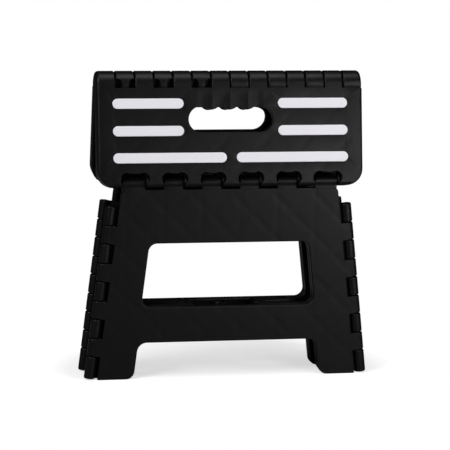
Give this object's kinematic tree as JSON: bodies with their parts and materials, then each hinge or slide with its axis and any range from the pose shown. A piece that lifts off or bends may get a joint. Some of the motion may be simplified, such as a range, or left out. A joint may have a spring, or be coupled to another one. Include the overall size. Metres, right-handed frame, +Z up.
{
  "type": "folding step stool",
  "caption": "Folding plastic step stool, folded flat: hinged top halves with anti-slip strips and a handle slot, over leg panels with a window and end halves.",
  "frame": {"origin": "on the floor, midway between the two leg panels and between the corner hinges", "axes": "+Z up to the centre hinge, +Y from the front leg panel to the back one, +X to the right seen from the front"},
  "size_m": [0.2946, 0.063, 0.3114],
  "materials": {
    "black_plastic": "black moulded plastic with a fine satin grain",
    "white_strip": "smooth matt white anti-slip strip"
  },
  "bodies": {
    "front_leg": {"front_leg": "black_plastic"},
    "back_leg": {"back_leg": "black_plastic"},
    "top_front": {"top_front": "black_plastic", "top_front_strip_upper_left": "white_strip", "top_front_strip_upper_right": "white_strip", "top_front_strip_middle_left": "white_strip", "top_front_strip_middle_right": "white_strip", "top_front_strip_lower_left": "white_strip", "top_front_strip_lower_right": "white_strip"},
    "top_back": {"top_back": "black_plastic", "top_back_strip_upper_left": "white_strip", "top_back_strip_upper_right": "white_strip", "top_back_strip_middle_left": "white_strip", "top_back_strip_middle_right": "white_strip", "top_back_strip_lower_left": "white_strip", "top_back_strip_lower_right": "white_strip"},
    "left_front_end": {"left_front_end": "black_plastic"},
    "left_back_end": {"left_back_end": "black_plastic"},
    "right_front_end": {"right_front_end": "black_plastic"},
    "right_back_end": {"right_back_end": "black_plastic"}
  },
  "joints": [
    {"name": "top_front_hinge", "type": "hinge", "parent": "front_leg", "child": "top_front", "pos_m": [0, -0.0195, 0.2007], "axis": [-1, 0, 0], "range_deg": [0, 79.29]},
    {"name": "centre_hinge", "type": "hinge", "parent": "top_front", "child": "top_back", "pos_m": [0, 0, 0.2984], "axis": [1, 0, 0], "range_deg": [0, 158.58]},
    {"name": "top_back_hinge", "type": "hinge", "parent": "top_back", "child": "back_leg", "pos_m": [0, 0.0195, 0.2007], "axis": [-1, 0, 0], "range_deg": [0, 79.29]},
    {"name": "left_front_corner_hinge", "type": "hinge", "parent": "front_leg", "child": "left_front_end", "pos_m": [-0.142, -0.0195, 0], "axis": [0.1159, 0, 0.9933], "range_deg": [0, 79.29]},
    {"name": "right_front_corner_hinge", "type": "hinge", "parent": "front_leg", "child": "right_front_end", "pos_m": [0.142, -0.0195, 0], "axis": [0.1159, 0, -0.9933], "range_deg": [0, 79.29]},
    {"name": "left_back_corner_hinge", "type": "hinge", "parent": "back_leg", "child": "left_back_end", "pos_m": [-0.142, 0.0195, 0], "axis": [-0.1159, 0, -0.9933], "range_deg": [0, 79.29]},
    {"name": "right_back_corner_hinge", "type": "hinge", "parent": "back_leg", "child": "right_back_end", "pos_m": [0.142, 0.0195, 0], "axis": [-0.1159, 0, 0.9933], "range_deg": [0, 79.29]}
  ],
  "couplings": [
    {"joint": "centre_hinge", "follows": "top_front_hinge", "ratio": 2},
    {"joint": "top_back_hinge", "follows": "top_front_hinge", "ratio": 1},
    {"joint": "left_front_corner_hinge", "follows": "top_front_hinge", "ratio": 1},
    {"joint": "right_front_corner_hinge", "follows": "top_front_hinge", "ratio": 1},
    {"joint": "left_back_corner_hinge", "follows": "top_front_hinge", "ratio": 1},
    {"joint": "right_back_corner_hinge", "follows": "top_front_hinge", "ratio": 1}
  ]
}
